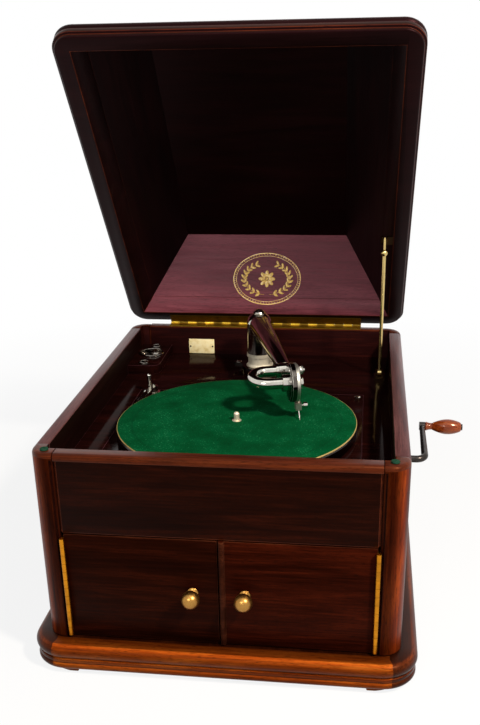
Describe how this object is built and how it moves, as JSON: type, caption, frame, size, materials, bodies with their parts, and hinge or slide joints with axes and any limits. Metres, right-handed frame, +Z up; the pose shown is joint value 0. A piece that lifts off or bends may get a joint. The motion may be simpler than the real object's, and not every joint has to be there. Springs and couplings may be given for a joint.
{
  "type": "table gramophone",
  "caption": "Wooden table gramophone with a propped hipped lid, felted turntable, nickel tonearm with swan neck and sound box, side crank, and front doors over an internal horn.",
  "frame": {"origin": "middle of the cabinet's footprint, on the plane of the feet", "axes": "+X to the right, crank side; +Y to the back, lid hinge side; +Z up"},
  "size_m": [0.538, 0.6053, 0.7333],
  "materials": {
    "mahogany": "French polish",
    "deal": "plain",
    "grip_wood": "varnished",
    "nickel": "polished nickel plate",
    "brass": "aged",
    "steel": "dark",
    "cast_iron": "japanned",
    "felt": "wool felt",
    "mica": "thin sheet"
  },
  "bodies": {
    "cabinet": {"feet": "mahogany", "plinth": "mahogany", "bottom_board": "deal", "corner_posts": "mahogany", "front_rail": "mahogany", "left_side": "mahogany", "right_side": "mahogany", "back_panel": "mahogany", "deck": "mahogany", "deck_bearers": "deal", "motor_board": "mahogany", "deck_screws": "nickel", "horn_cheeks": "deal", "horn_roof": "deal", "horn_throat": "cast_iron", "needle_shelf": "mahogany", "needle_cups": "nickel", "lid_pads": "felt", "lid_hinge_fixed": "brass", "door_hinges_fixed": "brass", "stay_socket": "brass", "crank_bush": "brass", "tonearm_base": "nickel", "brake_post": "nickel", "motor_plate": "cast_iron", "motor_frame": "cast_iron"},
    "lid": {"lid_rim": "mahogany", "lid_ends": "mahogany", "lid_sides": "mahogany", "lid_top": "mahogany", "lid_hinge_leaf": "brass", "lid_stay_catch": "brass"},
    "stay": {"lid_stay": "brass"},
    "left_door": {"left_door": "mahogany", "left_knob": "brass", "left_door_leaf": "brass"},
    "right_door": {"right_door": "mahogany", "right_knob": "brass", "right_door_leaf": "brass"},
    "crank": {"crank": "steel", "winding_shaft": "steel"},
    "crank_grip": {"crank_grip": "grip_wood"},
    "turntable": {"platter": "steel", "felt": "felt", "spindle": "nickel"},
    "tonearm": {"tonearm": "nickel", "tonearm_cap": "nickel"},
    "soundbox": {"gooseneck": "nickel", "soundbox": "nickel", "diaphragm": "mica", "stylus_bar": "nickel", "needle": "nickel"},
    "needle_screw": {"needle_screw": "nickel"},
    "brake": {"brake_lever": "nickel"},
    "speed_regulator": {"speed_lever": "steel"},
    "spring_barrel": {"spring_barrel": "brass", "mainspring": "steel"},
    "spring_arbor": {"spring_arbor": "steel"},
    "idler": {"idler": "brass"},
    "governor": {"governor": "brass"}
  },
  "joints": [
    {"name": "lid_hinge", "type": "hinge", "parent": "cabinet", "child": "lid", "pos_m": [0, 0.2672, 0.2894], "axis": [1, 0, 0], "range_deg": [0, 54]},
    {"name": "stay_fold", "type": "hinge", "parent": "cabinet", "child": "stay", "pos_m": [0.184, 0.156, 0.25], "axis": [1, 0, 0], "range_deg": [0, 87.5]},
    {"name": "left_door_hinge", "type": "hinge", "parent": "cabinet", "child": "left_door", "pos_m": [-0.1846, -0.2642, 0.115], "axis": [0, 0, -1], "range_deg": [0, 165]},
    {"name": "right_door_hinge", "type": "hinge", "parent": "cabinet", "child": "right_door", "pos_m": [0.1846, -0.2642, 0.115], "axis": [0, 0, 1], "range_deg": [0, 165]},
    {"name": "crank_turn", "type": "hinge", "parent": "cabinet", "child": "crank", "pos_m": [0.2, -0.036, 0.196], "axis": [1, 0, 0], "continuous": true},
    {"name": "grip_spin", "type": "hinge", "parent": "crank", "child": "crank_grip", "pos_m": [0.275, 0.06376, 0.20298], "axis": [1, 0, 0], "continuous": true},
    {"name": "turntable_spin", "type": "hinge", "parent": "cabinet", "child": "turntable", "pos_m": [0, -0.08, 0.262], "axis": [0, 0, 1], "continuous": true},
    {"name": "arm_swing", "type": "hinge", "parent": "cabinet", "child": "tonearm", "pos_m": [0, 0.186, 0.313], "axis": [0, 0, 1], "range_deg": [-6, 14.5]},
    {"name": "throw_back", "type": "hinge", "parent": "tonearm", "child": "soundbox", "pos_m": [0.05906, -0.02696, 0.313], "axis": [-0.9636, -0.2672, 0], "range_deg": [0, 85]},
    {"name": "needle_screw_turn", "type": "hinge", "parent": "soundbox", "child": "needle_screw", "pos_m": [0.08169, -0.05991, 0.27703], "axis": [0.9636, 0.2672, 0], "continuous": true},
    {"name": "brake_swing", "type": "hinge", "parent": "cabinet", "child": "brake", "pos_m": [-0.14, 0.058, 0.255], "axis": [0, 0, 1], "range_deg": [0, 8]},
    {"name": "speed_swing", "type": "hinge", "parent": "cabinet", "child": "speed_regulator", "pos_m": [-0.078, -0.158, 0.245], "axis": [0, 0, -1], "range_deg": [0, 15]},
    {"name": "barrel_turn", "type": "hinge", "parent": "cabinet", "child": "spring_barrel", "pos_m": [0.052, -0.036, 0.16], "axis": [0, 0, 1], "continuous": true},
    {"name": "arbor_turn", "type": "hinge", "parent": "cabinet", "child": "spring_arbor", "pos_m": [0.052, -0.036, 0.18], "axis": [0, 0, 1], "continuous": true},
    {"name": "idler_turn", "type": "hinge", "parent": "cabinet", "child": "idler", "pos_m": [0.04314, -0.09989, 0.2], "axis": [0, 0, 1], "continuous": true},
    {"name": "governor_spin", "type": "hinge", "parent": "cabinet", "child": "governor", "pos_m": [-0.0309, -0.11, 0.185], "axis": [0, 1, 0], "continuous": true}
  ],
  "couplings": [
    {"joint": "stay_fold", "follows": "lid_hinge", "ratio": 1.6111},
    {"joint": "idler_turn", "follows": "turntable_spin", "ratio": -0.26667},
    {"joint": "barrel_turn", "follows": "turntable_spin", "ratio": 0.051852},
    {"joint": "governor_spin", "follows": "turntable_spin", "ratio": 30},
    {"joint": "arbor_turn", "follows": "crank_turn", "ratio": 0.33333}
  ]
}
